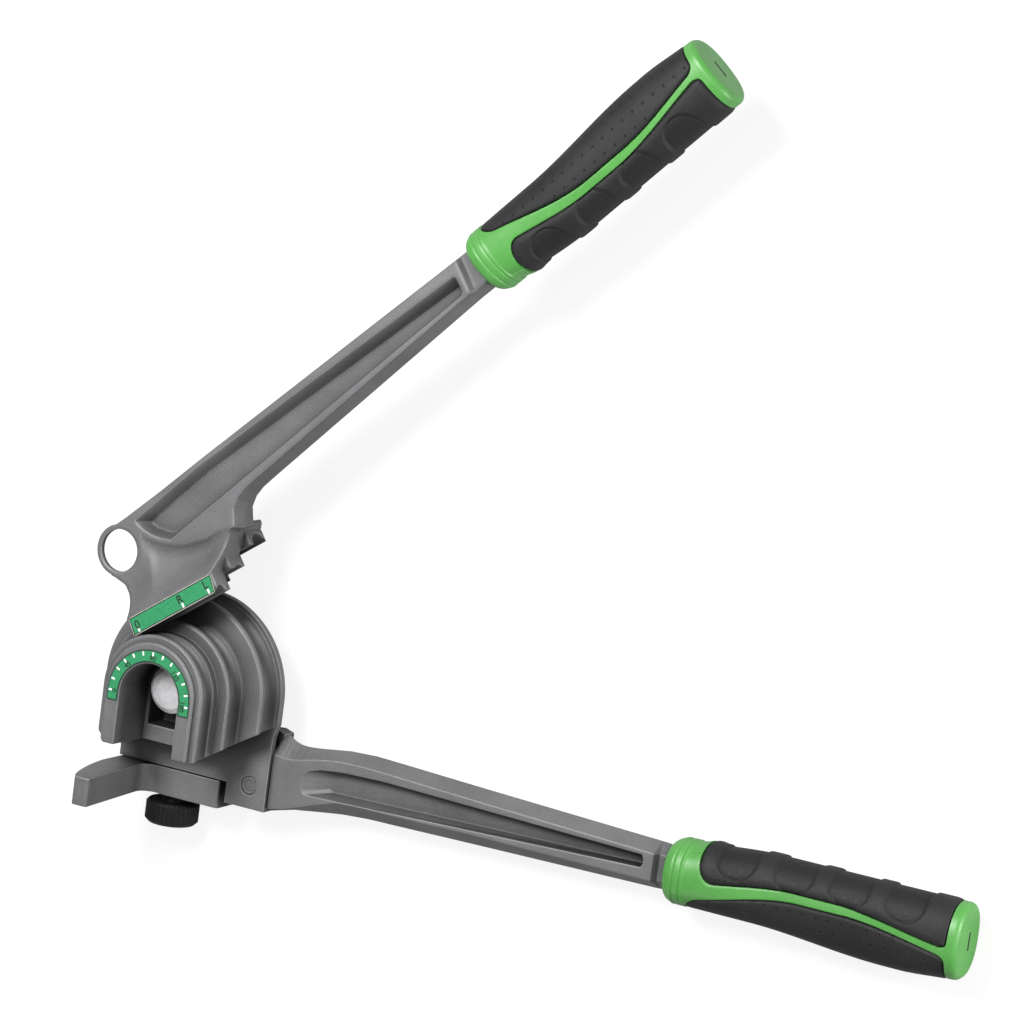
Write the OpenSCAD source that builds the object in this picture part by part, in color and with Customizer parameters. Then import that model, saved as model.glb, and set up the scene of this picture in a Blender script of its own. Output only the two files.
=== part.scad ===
// Lever tube bender for three tube sizes, lying on its back with the scale side up.
// Z is the pivot axis, X runs along the lower lever and the origin is on the bench.

/* [Forming die] */
// Outside diameter of the smallest tube
tube_1 = 6; // [5:0.5:6.5]
// Outside diameter of the middle tube
tube_2 = 8; // [6:0.5:8]
// Outside diameter of the largest tube
tube_3 = 10; // [8:0.5:10]
// Bend radius of the smallest tube
bend_1 = 23.7; // [23:0.1:25]
// Bend radius of the middle tube
bend_2 = 28.9; // [28:0.1:31]
// Bend radius of the largest tube
bend_3 = 38; // [36:0.1:40]
// Depth of the front step
step_1 = 13.8; // [13:0.1:15]
// Depth of the middle step
step_2 = 10.9; // [10.5:0.1:12]
// Depth of the rear step
step_3 = 12.7; // [12.4:0.1:14]
// Land in front of the first groove
land_1 = 4.2; // [3:0.1:5]
// Land in front of the other grooves
land_2 = 2.3; // [1.5:0.1:2.4]
// Height of the rear flange over the largest bend radius
flange_rise = 1.5; // [1.5:0.1:3]
// Thickness of the rear flange
flange_t = 3; // [2.5:0.1:4]
// Height of the scale boss over the front land
boss_h = 2; // [1:0.1:3]
// Width of the front land around the scale boss
boss_rim = 2.8; // [2:0.1:4]
// Half width of the arch
arch_half = 14.2; // [13:0.1:15]
// Depth of the arch
arch_depth = 21.6; // [18:0.1:24]
// Drop of the scale centre below the pivot
scale_drop = 1.9; // [0:0.1:3]
// Reach of the front legs below the pivot
leg_reach = 24; // [20:0.5:26]
// Reach of the rear flange below the pivot
heel_reach = 9; // [6:0.5:12]
// Bevel of the left leg's foot
leg_bevel = 4.5; // [2:0.5:6]
// Height of the front face over the bench
face_z = 60; // [58:0.5:64]
// Softening of the cast edges
edge = 0.7; // [0.3:0.1:1]

/* [Base] */
// Thickness of the base pad, from the flange's front face
pad_t = 6.6; // [6:0.1:8]
// Reach of the base to the left of the pivot
base_left = 34.5; // [32:0.5:36]
// Drop of the screw bar's upper face below the pivot
bar_top = 33; // [32:0.1:34]
// Drop of the base bar's lower face below the pivot
bar_low = 37.2; // [36.5:0.1:38]
// Drop of the base's heel below the pivot
heel_low = 46; // [43:0.5:46]
// Place of the heel's left wall
heel_x = 18.8; // [18:0.1:20]

/* [Lower lever] */
// Thickness of both lever arms
arm_t = 15; // [12:0.5:16]
// Height of the lower arm's centre over the bench
low_z = 13.2; // [13:0.1:15]
// Place of the lower grip's front end along X
low_grip_x = 217; // [205:0.5:240]
// Drop of the lower grip's axis below the pivot
low_grip_drop = 28.4; // [27:0.1:30]
// Half width of both arms at the grips
arm_end_half = 9; // [8.5:0.1:9.5]
// Depth of the pockets in the arms
pocket_d = 4.5; // [2:0.5:6]
// Bevel along the arms' edges
arm_bevel = 4; // [2:0.1:5]

/* [Upper lever] */
// Direction of the shoe at rest, from X
shoe_dir = 35.5; // [10:0.5:80]
// Height of the upper arm's centre over the bench
up_z = 40.5; // [40:0.1:43]
// Place of the shoe's near end, from the pivot
shoe_0 = 1.2; // [0.8:0.1:1.6]
// Place of the front step's far end
shoe_1 = 46.4; // [43:0.1:48]
// Place of the middle step's far end
shoe_2 = 50.2; // [49:0.1:53]
// Place of the rear step's far end
shoe_3 = 56.4; // [54:0.1:60]
// Gap between the shoe and the lands
shoe_gap = 0.4; // [0.4:0.1:1]
// Gap between the shoe and the risers
riser_gap = 0.4; // [0.3:0.1:0.6]
// Height of the shoe's scale face
shoe_face_h = 8.2; // [8:0.1:10]
// Depth of the scale face behind the die's front
shoe_face_d = 4.5; // [3.5:0.1:5]
// Height of the shoe's body above the pivot, at its top
shoe_top = 48; // [46:0.5:49]
// Height of the steps' ends over their grooves
step_h = 5.6; // [5:0.1:7]
// Diameter of the hanging hole
eye_d = 17.5; // [14:0.5:18]
// Wall around the hanging hole
eye_wall = 2; // [2:0.1:4]
// Thickness of the ring around the hanging hole
eye_thick = 2.2; // [2:0.1:5]
// Place of the hanging hole along the shoe
eye_t = 5.8; // [4:0.1:7]
// Height of the hanging hole over the pivot, square to the shoe
eye_n = 60.1; // [59:0.1:62]
// Place of the upper grip's front end along the shoe
up_grip_t = 204.5; // [192:0.5:225]
// Height of the upper grip's front end, square to the shoe
up_grip_n = 88.2; // [87:0.1:90]
// Direction of the upper grip from the shoe
up_grip_dir = 9.9; // [8:0.1:12]
// Thickness of the cheek that turns on the pin
cheek_t = 9; // [7:0.5:9.5]
// Half width of the cheek
cheek_half = 14.5; // [13:0.5:15]

/* [Pivot] */
// Diameter of the pin's head in the arch
pin_head_d = 19.8; // [18:0.1:21]
// Diameter of the pin's journal
pin_d = 16; // [14:0.5:17]
// Depth of the pin's end behind the die's front
pin_depth = 14; // [12:0.5:18]
// Wall of the bush
bush_t = 2; // [1.5:0.1:2.5]
// Radial running clearance
run_fit = 0.05; // [0.02:0.01:0.09]
// Thickness of the thrust washer
washer_t = 1.5; // [1:0.1:1.8]
// Thickness of the retaining ring
ring_t = 1.2; // [1:0.1:1.4]

/* [Tube clamp] */
// Height of the clamp
clamp_h = 11.6; // [10:0.1:13]
// Gap between the clamp and the base bar
clamp_gap = 0.8; // [0.4:0.1:1]
// Depth of the clamp's block
clamp_d = 20; // [18:0.5:21]
// Length of the wing in front of the block
wing_len = 48; // [40:0.5:52]
// Width of the wing at its tip
wing_tip = 6.7; // [4:0.1:8]
// Width of the wing at its root
wing_root = 13.5; // [10:0.5:15]
// Lean of the wing's inner face over its length
wing_lean = 4.5; // [2:0.5:6]
// Travel of the clamp
clamp_travel = 20; // [14:0.5:20]
// Diameter of the clamp's screw
screw_d = 6; // [5:0.5:7]
// Place of the screw along X, from the pivot
screw_x = -12; // [-13:0.5:-10]
// Diameter of the knob
knob_d = 22.5; // [20:0.5:24]
// Height of the knob
knob_h = 9.5; // [8:0.5:12]
// Height of the knob's neck
neck_h = 2.4; // [2:0.1:5]
// Ribs around the knob
knob_ribs = 36; // [24:1:40]

/* [Grips] */
// Length of a grip
grip_len = 121.5; // [110:1:140]
// Half height of a grip at its collar
grip_half = 12.7; // [12:0.1:14]
// Half depth of a grip
grip_deep = 12.6; // [11.5:0.1:13]
// Extra half height on the finger side
finger_swell = 2.4; // [1:0.1:3]
// Extra half height on the palm side
palm_swell = 3.3; // [1:0.1:4]
// Length of the collar
collar_len = 15; // [13:0.5:18]
// Length of the end cap
cap_len = 4.5; // [4:0.5:8]
// Place where the palm pad starts
palm_start = 9.5; // [8:0.5:12]
// Thickness of the pads
pad_skin = 2; // [1.5:0.1:2.5]
// Clearance under and beside the pads
pad_gap = 0.25; // [0.2:0.05:0.4]
// Turn of the upper grip on its tang
grip_turn = 12; // [0:1:20]
// Length of the lever's tang in the grip
tang_len = 70; // [50:1:90]
// Clearance around the tang
tang_gap = 0.1; // [0.05:0.05:0.2]

/* [Fasteners and labels] */
// Diameter of the base screws
base_screw_d = 5; // [4:0.5:5]
// Diameter of the locating dowel
dowel_d = 8; // [6:0.5:9]
// Thickness of the scale labels
label_t = 0.3; // [0.2:0.1:0.5]
// Inner radius of the angle scale
scale_in = 14.8; // [14.5:0.1:16]
// Outer radius of the angle scale
scale_out = 19.6; // [18:0.1:20]
// Height of the shoe's label
shoe_label_h = 7.5; // [5:0.1:7.6]

/* [Hidden] */
$fn = 96;
reach = 200;
boss_r = bend_1 - boss_rim;
flange_r = bend_3 + flange_rise;
stack = step_1 + step_2 + step_3;
plate_z = face_z - stack;
back_z = plate_z - flange_t;
pad_z = plate_z - pad_t;
groove_z1 = face_z - land_1 - tube_1 / 2;
groove_z2 = face_z - step_1 - land_2 - tube_2 / 2;
groove_z3 = face_z - step_1 - step_2 - land_2 - tube_3 / 2;
face_2 = face_z - step_1;
face_3 = face_2 - step_2;
arch_z = face_z - arch_depth;
foot_turn = 30.9;
foot_tilt = 7.2;
cavity_r = 12.8;
cavity_low = 17.5;
pin_seat = 3.4;
wall_z = plate_z + pin_seat;
pin_top = face_z - pin_depth;
cheek_top = back_z - riser_gap;
cheek_low = cheek_top - cheek_t;
washer_z = cheek_low - washer_t - 0.1;
ring_z = washer_z - ring_t - 0.1;
bush_r = pin_d / 2 + run_fit + bush_t;
shoe_z1 = face_z - shoe_face_d;
up_low = up_z - arm_t / 2;
up_top = up_z + arm_t / 2;
low_low = low_z - arm_t / 2;
low_top = low_z + arm_t / 2;
block_z = plate_z - 0.6;
clamp_y = -bar_low - clamp_gap;
clamp_low = clamp_y - clamp_h;
screw_z = block_z - clamp_d / 2;
washer_h = 1.2;
neck_y = clamp_low - 0.2 - washer_h;
knob_y = neck_y - neck_h;
wing_x = screw_x - screw_d / 2 - 6.5;
block_x = screw_x + clamp_travel + screw_d / 2 + 4.3;
boss_top = 27.5;
eye_low = up_top - eye_thick;
arm_half = arm_t / 2;
bridge_w = 8.5;
neck_half = arm_half - 2;
screw_top = -boss_top - 1.5;
tang_h = 10.5;
tang_t = 10;
base_screws = [[7, -29], [22, -26], [33, -29]];
dowel_at = [29.6, -36.5];
base_right = bend_3;
heel_top = 15;
arm_x = base_right + 0.3;

grey = [0.36, 0.36, 0.38];
green = [0.20, 0.62, 0.35];
lime = [0.38, 0.74, 0.33];
black = [0.13, 0.13, 0.14];
steel = [0.75, 0.76, 0.77];

// Rounds the corners of a flat shape, outer ones by r_out and inner ones by r_in
module rounded(r_out, r_in) {
    offset(r = -r_in, $fn = 24) offset(r = r_in + r_out, $fn = 24) offset(delta = -r_out) children();
}

// Places a flat shape as a slab between two heights
module slab(low, top) {
    translate([0, 0, low]) linear_extrude(top - low) children();
}

// Extrudes a flat shape drawn in the XZ plane downwards along Y
module down_y(length) {
    rotate([90, 0, 0]) linear_extrude(length) children();
}

// Forming die
// Half section of the stepped die with its three grooves
module die_section() {
    difference() {
        polygon([[0, plate_z], [bend_3, plate_z], [bend_3, face_3 - edge],
            [bend_3 - edge, face_3], [bend_2, face_3], [bend_2, face_2 - edge],
            [bend_2 - edge, face_2], [bend_1, face_2], [bend_1, face_z - boss_h - edge],
            [bend_1 - edge, face_z - boss_h], [boss_r, face_z - boss_h],
            [boss_r, face_z - edge], [boss_r - edge, face_z], [0, face_z]]);
        translate([bend_1, groove_z1]) circle(d = tube_1);
        translate([bend_2, groove_z2]) circle(d = tube_2);
        translate([bend_3, groove_z3]) circle(d = tube_3);
    }
}

// Outline of the arch that opens the die's front
module arch_outline(r) {
    translate([0, -scale_drop]) circle(r = r);
    translate([-r, -scale_drop - reach]) square([2 * r, reach]);
}

// Outline of the rear flange and of the plate below it
module plate_outline() {
    intersection() {
        circle(r = flange_r);
        translate([-flange_r, 0]) square([2 * flange_r, flange_r]);
    }
    translate([-flange_r, -heel_reach]) square([2 * flange_r, heel_reach]);
    polygon([[-flange_r, -heel_reach], [-base_left, -bar_top], [-base_left, -bar_low], [heel_x, -bar_low],
        [heel_x, -heel_low], [base_right, -heel_low], [base_right, -heel_top], [flange_r, -heel_reach]]);
}

// Outline of the base bar and heel
module base_outline() {
    polygon([[-base_left, -bar_low], [heel_x, -bar_low], [heel_x, -heel_low], [base_right, -heel_low],
        [base_right, -22], [-arch_half, -22], [-arch_half, -bar_top], [-base_left, -bar_top]]);
}

module forming_die() {
    color(grey) difference() {
        union() {
            intersection() {
                union() {
                    rotate_extrude(angle = 180) die_section();
                    for (side = [0, 1]) mirror([side, 0, 0]) down_y(leg_reach + 5) die_section();
                }
                union() {
                    intersection() {
                        translate([0, -leg_reach, plate_z - 1]) cube([reach, leg_reach + reach, stack + 2]);
                        translate([bend_1, -leg_reach, face_z]) rotate([0, 0, foot_turn])
                            rotate([foot_tilt, 0, 0]) translate([-reach, 0, -reach]) cube(2 * reach);
                    }
                    translate([-reach, -leg_reach, plate_z - 1]) cube([reach, leg_reach + reach, stack + 2]);
                }
            }
            slab(back_z, plate_z) plate_outline();
            slab(pad_z, back_z) base_outline();
        }
        slab(arch_z, face_z + 1) arch_outline(arch_half);
        slab(face_2, face_z + 1) translate([-bend_1, -leg_reach])
            polygon([[-1, leg_bevel + 1], [-1, -1], [leg_bevel + 1, -1]]);
        slab(wall_z, face_z) intersection() {
            arch_outline(cavity_r);
            translate([-cavity_r, -cavity_low]) square([2 * cavity_r, reach]);
        }
        translate([0, 0, pad_z - 1]) cylinder(d = pin_head_d, h = face_z);
        translate([dowel_at[0], dowel_at[1], pad_z - 1]) cylinder(d = dowel_d, h = pad_t + 2);
        for (at = base_screws) translate([at[0], at[1], pad_z - 1])
            cylinder(d = base_screw_d, h = pad_t - 0.5);
    }
}

// Outline of the angle scale, with straight tails below the arch
module scale_outline() {
    tail = 4;
    difference() {
        union() {
            translate([0, -scale_drop]) circle(r = scale_out);
            translate([-scale_out, -scale_drop - tail]) square([2 * scale_out, tail]);
        }
        arch_outline(scale_in);
        translate([-reach, -scale_drop - tail - reach]) square([2 * reach, reach]);
    }
}

module angle_scale() {
    color(green) slab(face_z, face_z + label_t) scale_outline();
}

// Arms
// Closed solid through sections of the same number of points, given from front to back
module loft(sections) {
    sides = len(sections[0]);
    rings = len(sections);
    points = [for (s = sections) each s];
    walls = [for (i = [0:rings - 2]) for (j = [0:sides - 1]) let (k = (j + 1) % sides)
        each [[i * sides + j, (i + 1) * sides + k, i * sides + k],
            [i * sides + j, (i + 1) * sides + j, (i + 1) * sides + k]]];
    front = [for (j = [0:sides - 1]) j];
    back = [for (j = [0:sides - 1]) rings * sides - 1 - j];
    polyhedron(points, concat(walls, [front, back]));
}

// Six-sided section of an arm, widest in its middle plane: x, upper and lower edge, bevels, half thickness
function arm_section(a, mid) = let (x = a[0], up = a[1], low = a[2], b_up = a[3], b_low = a[4], half = a[5])
    [[x, up, mid], [x, up - b_up, mid + half], [x, low + b_low, mid + half],
        [x, low, mid], [x, low + b_low, mid - half], [x, up - b_up, mid - half]];

// Shallow pocket with leaning walls, from its outline and from that of its floor
module pocket(outline, floor_outline, top) {
    hull() {
        slab(top, top + 1) polygon(outline);
        slab(top - pocket_d, top - pocket_d + 0.1) polygon(floor_outline);
    }
}

// Lower lever
// Sections of the lower arm, from the base to the grip
low_end = low_grip_x - 0.2;
low_axis = -low_grip_drop;
low_high = low_axis + arm_end_half;
low_foot = low_axis - arm_end_half;
low_tip = low_grip_x - 9.5;
low_rows = [[arm_x, -13.1, -45.4, 8.7, 0.8, arm_half], [40.5, -13.8, -45.1, 8.1, 0.9, arm_half],
    [42.5, -15, -44.8, 7.1, 0.9, arm_half], [44.5, -16, -44.5, 6.2, 1, arm_half],
    [47, -16.7, -44.1, 5.3, 1.6, arm_half], [50, -16.8, -43.7, 4.7, 2.2, arm_half],
    [54, -16.5, -43.1, 4.1, 3, arm_half], [58, -16, -42.5, 3.7, 3.9, arm_half],
    [63, -15.3, -41.8, 3.5, 4.8, arm_half], [70, -14.3, -40.9, arm_bevel - 0.4, arm_bevel + 2, arm_half],
    [82, -13.8, -40.1, arm_bevel, arm_bevel + 1.7, arm_half],
    [95, -14.3, -39.9, arm_bevel, arm_bevel + 1.5, arm_half],
    [130, -15.8, -39.2, arm_bevel, arm_bevel + 1.5, arm_half],
    [low_end - 5.5, low_high + 0.4, low_foot - 0.4, arm_bevel, arm_bevel, arm_half],
    [low_end - 3.5, low_high + 0.3, low_foot - 0.3, arm_bevel, arm_bevel, neck_half],
    [low_end, low_high, low_foot - 0.2, arm_bevel, arm_bevel, neck_half]];
low_pocket = [[52.8, -27.4], [53.6, -26], [55.5, -24.9], [61, -23.2], [72, -22], [90, -21.5], [98, -21.8],
    [low_tip - 1, -24.3], [low_tip, -26], [low_tip, -28], [low_tip - 1, -29.5], [118, -30.2], [81, -31.6],
    [63, -33.8], [55.5, -35], [53.7, -34.6], [52.8, -33.4]];
low_floor = [[64, -26.5], [66, -24.2], [72, -22.8], [90, -22.3], [98, -22.6], [low_tip - 1.8, -25.1],
    [low_tip - 0.8, -26.2], [low_tip - 0.8, -27.8], [low_tip - 1.8, -28.7], [118, -29.4], [81, -30.8],
    [66, -32.2], [64, -31]];

// Outline of the lever's head behind the base
module head_outline() {
    polygon([[-base_left, -bar_low], [heel_x, -bar_low], [heel_x, -heel_low], [arm_x, -heel_low],
        [60, -40.4], [60, -21.5], [50, -22], [45, -21.8], [40, -20.4], [34, -18.2], [27, -18.2], [18, -21],
        [10, -22], [-4, -22], [-4, -boss_top], [-21, -boss_top], [-21, -bar_top], [-base_left, -bar_top]]);
}

module lower_lever() {
    color(grey) difference() {
        union() {
            loft([for (a = low_rows) arm_section(a, low_z)]);
            slab(0, pad_z) rounded(1, 2) head_outline();
            slab(low_z - 4, pad_z) polygon([[31, -20], [31.5, -12.8], [36, -12.4], [40, -13.7], [40, -20]]);
            translate([low_end - 1, low_axis - tang_h / 2, low_z - tang_t / 2])
                cube([tang_len + 1.2, tang_h, tang_t]);
        }
        pocket(low_pocket, low_floor, low_top);
        translate([screw_x, -bar_low - 1, screw_z]) rotate([-90, 0, 0])
            cylinder(d = screw_d + 2 * run_fit, h = -screw_top + bar_low);
        translate([dowel_at[0], dowel_at[1], pad_z - 6]) cylinder(d = dowel_d, h = 7);
        for (at = base_screws) translate([at[0], at[1], -1]) {
            cylinder(d = base_screw_d + 0.5, h = pad_z + 2);
            cylinder(d = 1.7 * base_screw_d + 0.6, h = base_screw_d + 2);
        }
    }
}

module locating_dowel() {
    color(grey) translate([dowel_at[0], dowel_at[1], pad_z - 6]) cylinder(d = dowel_d, h = pad_t + 5.6);
}

module base_screws_set() {
    color(steel) for (at = base_screws) translate([at[0], at[1], 1]) difference() {
        union() {
            cylinder(d = 1.7 * base_screw_d, h = base_screw_d);
            cylinder(d = base_screw_d, h = pad_z + pad_t - 3);
        }
        translate([0, 0, -1]) cylinder(d = base_screw_d * 0.92, h = 1 + base_screw_d * 0.55, $fn = 6);
    }
}

// Pivot
module pivot_pin() {
    color(steel) difference() {
        rotate_extrude() polygon([[0, 0], [pin_d / 2 - 1, 0], [pin_d / 2, 1], [pin_d / 2, back_z],
            [pin_head_d / 2, back_z], [pin_head_d / 2, pin_top - 2.5], [pin_head_d / 2 - 2, pin_top - 0.6],
            [pin_head_d / 2 - 5, pin_top], [0, pin_top]]);
        translate([0, 0, ring_z]) difference() {
            cylinder(d = pin_d + 2, h = ring_t + 0.1);
            translate([0, 0, -1]) cylinder(d = pin_d - 1.6, h = ring_t + 3);
        }
    }
}

module thrust_washer() {
    color(steel) translate([0, 0, washer_z]) difference() {
        cylinder(d = pin_d + 12, h = washer_t);
        translate([0, 0, -1]) cylinder(d = pin_d + 0.4, h = washer_t + 2);
    }
}

module retaining_ring() {
    color(steel) translate([0, 0, ring_z]) difference() {
        cylinder(d = pin_d + 4.4, h = ring_t);
        translate([0, 0, -1]) cylinder(d = pin_d - 1.5, h = ring_t + 2);
        translate([0, -1.5, -1]) cube([pin_d, 3, ring_t + 2]);
    }
}

// Upper lever, drawn with the shoe along X
// Sections of the upper arm, from the hanging eye to the grip
up_end = up_grip_t - 0.3;
up_high = up_grip_n + arm_end_half + 0.4;
up_foot = up_grip_n - arm_end_half - 0.2;
up_bevel = arm_bevel - 1.6;
up_rows = [[16, 71.6, 46, 0.8, 0.8, arm_half], [36, 75.6, 44, up_bevel, 1, arm_half],
    [60, 79, 44.6, up_bevel, 1, arm_half], [63, 79.4, 49.8, up_bevel, up_bevel, arm_half],
    [66.7, 79.8, 52.8, up_bevel, up_bevel, arm_half], [71.3, 80.4, 54.6, up_bevel, up_bevel, arm_half],
    [77.2, 81.2, 55.8, up_bevel, up_bevel, arm_half],
    [up_end - 7, up_high - 0.9, up_foot - 1, up_bevel, up_bevel, arm_half],
    [up_end - 5, up_high - 0.6, up_foot - 0.7, up_bevel, up_bevel, neck_half],
    [up_end + 3, up_high + 0.4, up_foot + 0.5, up_bevel, up_bevel, neck_half]];
up_tip = up_end - 10.5;
up_pocket = [[18, 67.6], [40, 71.6], [57.5, 74.6], [up_tip, 89.4], [up_tip + 0.9, 88.4], [up_tip + 1.1, 82.3],
    [up_tip, 81], [30.2, 53.4], [26.6, 55.7], [23.4, 58.6], [21.2, 61.2], [19.5, 63.9]];
up_floor = [[22.7, 64.8], [40, 68], [57.5, 71.1], [up_tip - 1.5, 85.6], [up_tip - 0.3, 85],
    [up_tip + 0.1, 82.8], [up_tip - 0.8, 81.9], [32.6, 55.2], [28.4, 57.8], [25, 60.7], [23.6, 62.8]];

// Outline of the web between the shoe, the eye and the arm
module web_outline() {
    polygon([[3.2, 40], [2.9, 44], [1.7, 46.8], [0.4, 48.9], [-1.1, 51.1], [-2.4, 52.7],
        [eye_t - 4, eye_n], [eye_t + 2, eye_n + 10], [16.5, 70.8], [16.5, 40]]);
}

// Valley above the label: places on the label's edge and on the arm's face, with each run's bow and dip
valley_low = [shoe_0 + 0.2, 4, 8, 12, 16, 20.5, 25, 30, 35.5, 40.5, 43.5, shoe_1];
valley_high = [[0.5, 50.5], [6.5, 49.3], [12.5, 51.2], [16.6, 56.5], [18.4, 62.5], [21, 58.6], [24.6, 55.3],
    [30.8, 51.2], [37.5, 48.6], [46, 47], [53, 47.5], [58, 46.4]];
valley_bow = [2.2, 0.8, 0, 0, 0, 0, 0, 0, 0, 0, 0, 0];
valley_dip = [0, 0, 0, 0.4, 1, 1.7, 1.9, 1.9, 1.9, 1.9, 1.7, 1.4];

// Solid between the valley's surface and a level, below it for the shoe or above it for a cutter
module valley(level) {
    low_n = bend_1 + shoe_gap + shoe_face_h;
    runs = 10;
    cols = runs + 1;
    rows = len(valley_low);
    half = rows * cols;
    flat = [for (i = [0:rows - 1]) for (k = [0:runs])
        let (u = k / runs, h = valley_high[i], x = valley_low[i])
        [x + (h[0] - x) * u + 4 * valley_bow[i] * u * (1 - u), low_n + (h[1] - low_n) * u,
            up_top + (shoe_z1 - up_top) * (pow(1 - u, 2) - valley_dip[i] * u * u * (1 - u))]];
    points = concat(flat, [for (q = flat) [q[0], q[1], level]]);
    skin = [for (i = [0:rows - 2]) for (k = [0:runs - 1]) let (q = i * cols + k)
        each [[q, q + 1, q + cols + 1], [q, q + cols + 1, q + cols]]];
    under = [for (f = skin) [f[2] + half, f[1] + half, f[0] + half]];
    ends = [for (i = [0, rows - 1]) for (k = [0:runs - 1]) let (q = i * cols + k, r = q + half)
        each i == 0 ? [[q + 1, q, r], [q + 1, r, r + 1]] : [[q, q + 1, r + 1], [q, r + 1, r]]];
    sides = [for (k = [0, runs]) for (i = [0:rows - 2]) let (q = i * cols + k, r = q + half)
        each k == 0 ? [[q, q + cols, r + cols], [q, r + cols, r]]
            : [[q + cols, q, r], [q + cols, r, r + cols]]];
    faces = concat(skin, under, ends, sides);
    polyhedron(points, level < up_top ? faces : [for (f = faces) [f[2], f[1], f[0]]]);
}

// One step of the shoe: near edge, far edge, low and top height, and its far end
module shoe_step(near, far, low, top, end) {
    translate([shoe_0, near, low]) cube([end - shoe_0, far - near, top - low]);
}

module shoe_block() {
    near_1 = bend_1 + shoe_gap;
    near_2 = bend_2 + shoe_gap;
    near_3 = bend_3 + shoe_gap;
    lip_cut = 2.5;
    low_1 = face_2 + riser_gap;
    low_2 = face_3 + riser_gap;
    low_3 = plate_z + riser_gap;
    top_n = near_1 + shoe_face_h;
    foot = valley_high[len(valley_high) - 1];
    foot_t = shoe_1 + (foot[0] - shoe_1) * (near_3 - top_n) / (foot[1] - top_n);
    difference() {
        union() {
            valley(face_3 + 1);
            slab(low_3, face_3 + 1) polygon([[shoe_1 - 1, near_3], [foot_t, near_3], foot,
                [foot[0], shoe_top], [shoe_1 - 1, shoe_top]]);
            shoe_step(near_1, top_n, low_1, shoe_z1, shoe_1);
            shoe_step(top_n, shoe_top, low_1, up_top - 2, shoe_1);
            shoe_step(near_2, near_2 + lip_cut, low_2, low_1, shoe_1 - 5);
            shoe_step(near_2 + lip_cut, shoe_top, low_2, low_1, shoe_1);
            shoe_step(near_2 + lip_cut, near_2 + step_h + 2, low_2, low_1, shoe_2);
            shoe_step(near_3, shoe_top, low_3, low_2, shoe_1);
            shoe_step(near_3, near_3 + step_h, low_3, low_2, shoe_3);
        }
        for (g = [[bend_1, groove_z1, tube_1], [bend_2, groove_z2, tube_2], [bend_3, groove_z3, tube_3]])
            translate([-1, g[0], g[1]]) rotate([0, 90, 0]) cylinder(d = g[2] + 0.2, h = reach);
    }
}

// Cheek behind the die that turns on the pin, with the bridge up to the shoe
module cheek() {
    slab(cheek_low, cheek_top) {
        circle(r = cheek_half);
        polygon([[-cheek_half, 0], [shoe_0, flange_r + 1], [shoe_0, shoe_top - 0.5],
            [bridge_w, shoe_top - 0.5], [bridge_w, 30], [cheek_half, 0]]);
    }
    slab(cheek_low, plate_z + 2) translate([shoe_0 + 0.5, flange_r + riser_gap + 0.3])
        square([bridge_w - shoe_0 - 1, shoe_top - flange_r - riser_gap - 1.3]);
}

module upper_lever() {
    color(grey) rotate([0, 0, shoe_dir]) difference() {
        union() {
            shoe_block();
            difference() {
                union() {
                    slab(up_low, up_top) web_outline();
                    loft([for (a = up_rows) arm_section(a, up_z)]);
                }
                valley(face_z);
                at_upper_end() translate([-0.2, -arm_t, -arm_t]) cube([arm_t, 2 * arm_t, 2 * arm_t]);
            }
            cheek();
            translate([eye_t, eye_n, eye_low]) cylinder(d = eye_d + 2 * eye_wall, h = eye_thick);
            at_upper_end() translate([-1.5, -tang_h / 2, -tang_t / 2])
                cube([tang_len + 1.5, tang_h, tang_t]);
        }
        translate([eye_t, eye_n, up_low - 1]) {
            cylinder(d = eye_d, h = face_z);
            cylinder(d = eye_d + 2 * eye_wall - 1, h = arm_t - eye_thick + 1);
            translate([0, 0, arm_t + 1]) cylinder(d = eye_d + 2 * eye_wall, h = arm_t);
        }
        pocket(up_pocket, up_floor, up_top);
        translate([0, 0, cheek_low - 1]) cylinder(r = bush_r, h = cheek_t + 2);
    }
}

// Front end of the upper grip, in the shoe's directions
module at_upper_end() {
    translate([up_grip_t, up_grip_n, up_z]) rotate([0, 0, up_grip_dir]) children();
}

module shoe_scale() {
    low_n = bend_1 + shoe_gap + 0.2;
    color(green) rotate([0, 0, shoe_dir]) slab(shoe_z1, shoe_z1 + label_t)
        polygon([[shoe_0 + 0.4, low_n], [shoe_1 - 1.6, low_n], [shoe_1 - 0.4, low_n + shoe_label_h],
            [shoe_0 + 0.9, low_n + shoe_label_h]]);
}

module pivot_bush() {
    color("goldenrod") translate([0, 0, cheek_low]) difference() {
        cylinder(r = bush_r, h = cheek_t);
        translate([0, 0, -1]) cylinder(d = pin_d + 2 * run_fit, h = cheek_t + 2);
    }
}

// Tube clamp
module tube_clamp() {
    tip_z = block_z + wing_len;
    tip_x = wing_x + wing_lean - wing_tip;
    root_x = wing_x - wing_root;
    bow = [for (k = [0:8]) let (u = k / 8, v = pow(1 - u, 1.3))
        [tip_x * v + (root_x + 0.5) * (1 - v), tip_z + (block_z + 12 - tip_z) * pow(u, 1.3)]];
    color(grey) difference() {
        translate([0, clamp_y, 0]) down_y(clamp_h) rounded(1.2, 5.5) polygon(concat([
            [root_x, block_z - clamp_d], [block_x, block_z - clamp_d], [block_x, block_z],
            [wing_x, block_z], [wing_x + wing_lean, tip_z]], bow));
        translate([0, clamp_y + 1, 0]) down_y(clamp_h + 2) {
            for (x = [screw_x, screw_x + clamp_travel]) translate([x, screw_z]) circle(d = screw_d + 0.8);
            translate([screw_x, screw_z - screw_d / 2 - 0.4]) square([clamp_travel, screw_d + 0.8]);
        }
    }
}

module clamp_stud() {
    color(black) translate([screw_x, knob_y - knob_h / 2, screw_z]) rotate([-90, 0, 0])
        cylinder(d = screw_d, h = screw_top - knob_y + knob_h / 2);
}

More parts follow.
